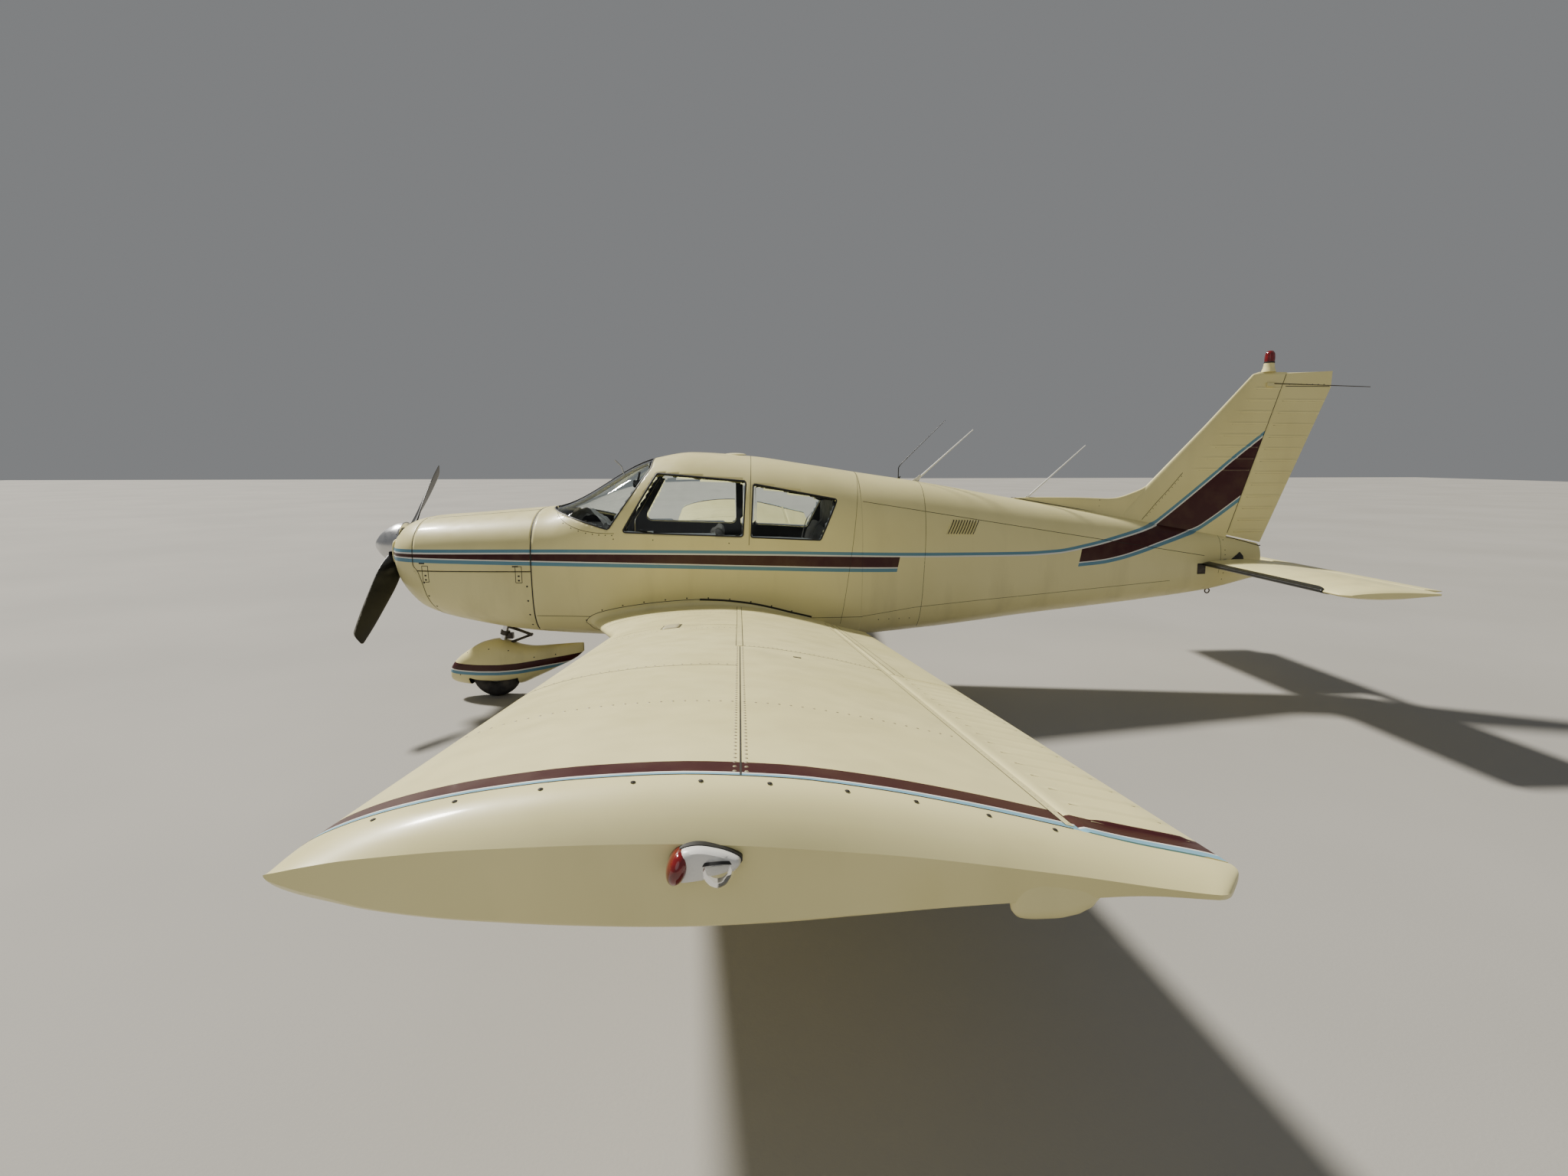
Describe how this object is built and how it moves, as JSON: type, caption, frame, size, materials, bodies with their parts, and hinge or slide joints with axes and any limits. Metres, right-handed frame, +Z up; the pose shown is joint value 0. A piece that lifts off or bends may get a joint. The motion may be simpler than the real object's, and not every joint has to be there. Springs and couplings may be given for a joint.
{
  "type": "light aircraft",
  "caption": "Low-wing light aeroplane with a nose propeller, fixed tricycle gear in wheel fairings, hinged cowling sides and a cabin door.",
  "frame": {"origin": "centre of the bounding box in plan, on the ground under the tyres", "axes": "+X aft along the fuselage, +Y to the right wing along the span, +Z up"},
  "size_m": [7.106, 9.236, 2.5603],
  "materials": {
    "cream_paint": "semi-gloss cream paint on thin alloy sheet",
    "window_glass": "clear, slightly green",
    "bare_alloy": "polished",
    "steel": "satin",
    "engine_metal": "cast, oily",
    "black_paint": "matt black",
    "black_plastic": "matt, crackle",
    "tyre_rubber": "matt rubber",
    "seat_cloth": "woven cloth",
    "red_lens": "clear red lens",
    "white_plastic": "gloss"
  },
  "bodies": {
    "airframe": {"cabin_shell": "cream_paint", "tail_cone": "cream_paint", "nose_cowl": "cream_paint", "cowl_top": "cream_paint", "lower_cowl": "cream_paint", "engine_block": "engine_metal", "windshield_left": "window_glass", "windshield_right": "window_glass", "window_front_left": "window_glass", "window_rear_left": "window_glass", "window_rear_right": "window_glass", "instrument_panel": "black_plastic", "seat_frame_left": "steel", "seat_left": "seat_cloth", "seat_frame_right": "steel", "seat_right": "seat_cloth", "rear_bench": "seat_cloth", "wing_left": "cream_paint", "wingtip_left": "cream_paint", "wingtip_light_left": "red_lens", "wing_right": "cream_paint", "wingtip_right": "cream_paint", "wingtip_light_right": "white_plastic", "jack_pad_left": "steel", "jack_pad_right": "steel", "fin": "cream_paint", "whip_antenna_front": "white_plastic", "whip_antenna_rear": "white_plastic", "beacon": "red_lens", "nav_antenna": "bare_alloy", "nose_leg": "steel", "main_leg_left": "steel", "main_fairing_left": "cream_paint", "main_leg_right": "steel", "main_fairing_right": "cream_paint", "exhaust_pipe": "steel", "pitot_mast": "cream_paint", "boarding_step": "black_paint"},
    "door": {"cabin_door": "cream_paint", "door_window": "window_glass"},
    "left_cowl_door": {"cowl_door_left": "cream_paint"},
    "right_cowl_door": {"cowl_door_right": "cream_paint"},
    "propeller": {"propeller_blades": "black_paint", "spinner": "bare_alloy"},
    "left_flap": {"flap_left": "cream_paint"},
    "right_flap": {"flap_right": "cream_paint"},
    "left_aileron": {"aileron_left": "cream_paint"},
    "right_aileron": {"aileron_right": "cream_paint"},
    "rudder": {"rudder": "cream_paint"},
    "stabilator": {"stabilator": "cream_paint"},
    "stabilator_tab": {"stabilator_tab": "cream_paint"},
    "nose_steering": {"nose_fork": "steel", "nose_fairing": "cream_paint"},
    "nose_wheel": {"nose_tyre": "tyre_rubber", "nose_hub": "bare_alloy"},
    "left_wheel": {"main_left_tyre": "tyre_rubber", "main_left_hub": "bare_alloy"},
    "right_wheel": {"main_right_tyre": "tyre_rubber", "main_right_hub": "bare_alloy"}
  },
  "joints": [
    {"name": "propeller_spin", "type": "hinge", "parent": "airframe", "child": "propeller", "pos_m": [-3.36, 0, 1.152], "axis": [1, 0, 0], "continuous": true},
    {"name": "cabin_door_swing", "type": "hinge", "parent": "airframe", "child": "door", "pos_m": [-1.768, 0.572, 1.105], "axis": [0, 0, 1], "range_deg": [0, 62]},
    {"name": "cowl_door_left_lift", "type": "hinge", "parent": "airframe", "child": "left_cowl_door", "pos_m": [-3.1117, -0.17, 1.34492], "axis": [-0.9967, 0, -0.0808], "range_deg": [0, 75]},
    {"name": "cowl_door_right_lift", "type": "hinge", "parent": "airframe", "child": "right_cowl_door", "pos_m": [-3.1117, 0.17, 1.34492], "axis": [0.9967, 0, 0.0808], "range_deg": [0, 75]},
    {"name": "flap_left_swing", "type": "hinge", "parent": "airframe", "child": "left_flap", "pos_m": [-0.31304, -0.59404, 0.61582], "axis": [-0.0001, 0.9925, -0.1224], "range_deg": [0, 40]},
    {"name": "flap_right_swing", "type": "hinge", "parent": "airframe", "child": "right_flap", "pos_m": [-0.31304, 0.59404, 0.61582], "axis": [0.0001, 0.9925, 0.1224], "range_deg": [0, 40]},
    {"name": "aileron_left_swing", "type": "hinge", "parent": "airframe", "child": "left_aileron", "pos_m": [-0.31291, -2.75639, 0.88249], "axis": [0, 0.9925, -0.1224], "range_deg": [-30, 15]},
    {"name": "aileron_right_swing", "type": "hinge", "parent": "airframe", "child": "right_aileron", "pos_m": [-0.31291, 2.75639, 0.88249], "axis": [0, 0.9925, 0.1224], "range_deg": [-30, 15]},
    {"name": "rudder_swing", "type": "hinge", "parent": "airframe", "child": "rudder", "pos_m": [2.839, 0, 1.177], "axis": [0.2839, 0, 0.9589], "range_deg": [-27, 27]},
    {"name": "stabilator_pitch", "type": "hinge", "parent": "airframe", "child": "stabilator", "pos_m": [2.78, 0, 0.975], "axis": [0, 1, 0], "range_deg": [-18, 2]},
    {"name": "stabilator_tab_swing", "type": "hinge", "parent": "stabilator", "child": "stabilator_tab", "pos_m": [3.1996, 0, 0.975], "axis": [0, 1, 0], "range_deg": [-14, 4]},
    {"name": "nose_wheel_steer", "type": "hinge", "parent": "airframe", "child": "nose_steering", "pos_m": [-2.75, 0, 0.18], "axis": [0.2439, 0, 0.9698], "range_deg": [-22, 22]},
    {"name": "nose_wheel_spin", "type": "hinge", "parent": "nose_steering", "child": "nose_wheel", "pos_m": [-2.75, 0, 0.18], "axis": [0, 1, 0], "continuous": true},
    {"name": "left_wheel_spin", "type": "hinge", "parent": "airframe", "child": "left_wheel", "pos_m": [-0.865, -1.524, 0.222], "axis": [0, 1, 0], "continuous": true},
    {"name": "right_wheel_spin", "type": "hinge", "parent": "airframe", "child": "right_wheel", "pos_m": [-0.865, 1.524, 0.222], "axis": [0, 1, 0], "continuous": true}
  ],
  "couplings": [
    {"joint": "flap_right_swing", "follows": "flap_left_swing", "ratio": 1},
    {"joint": "stabilator_tab_swing", "follows": "stabilator_pitch", "ratio": 0.667}
  ]
}
